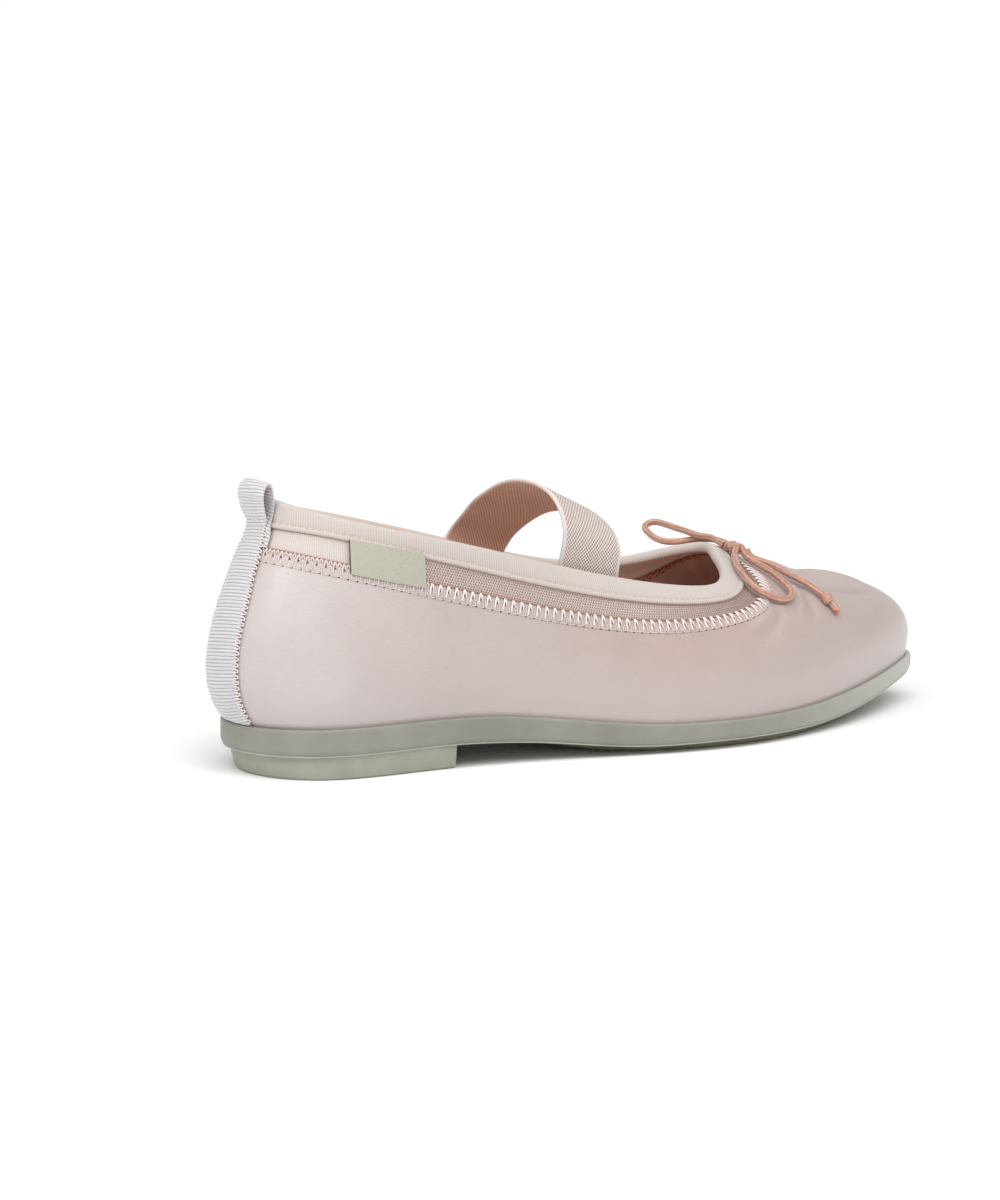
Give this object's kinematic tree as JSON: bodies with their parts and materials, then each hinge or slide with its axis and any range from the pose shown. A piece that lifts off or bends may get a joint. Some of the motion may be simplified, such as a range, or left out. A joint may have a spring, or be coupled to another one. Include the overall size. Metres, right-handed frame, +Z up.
{
  "type": "mary jane shoe",
  "caption": "Low mary jane in the ballet style, right shoe: soft satin upper with knitted topline, elastic instep strap, back ribbon pull loop, cord bow and thin rubber sole with a low heel.",
  "frame": {"origin": "middle of the footprint's bounding box, on the ground, measured without the bow's cords", "axes": "+X from heel to toe, +Y towards the medial side, -Y towards the lateral side, +Z up"},
  "size_m": [0.255, 0.0902, 0.0874],
  "materials": {
    "sage_rubber": "matte, slightly translucent",
    "pink_satin": "satin weave, soft sheen",
    "knit_tape": "fine ribbed knit",
    "ribbed_elastic": "woven elastic",
    "grosgrain": "cross-ribbed ribbon",
    "satin_cord": "smooth satin cord",
    "foam_lining": "brushed lining"
  },
  "bodies": {
    "root": {"outsole": "sage_rubber", "heel": "sage_rubber", "forefoot_tread": "sage_rubber", "insole": "foam_lining", "upper": "pink_satin", "topline_binding": "knit_tape", "instep_strap": "ribbed_elastic", "heel_ribbon": "grosgrain", "bow_knot": "satin_cord", "bow_loop_lateral": "satin_cord", "bow_loop_medial": "satin_cord", "bow_end_lateral": "satin_cord", "bow_end_medial": "satin_cord"}
  },
  "joints": []
}
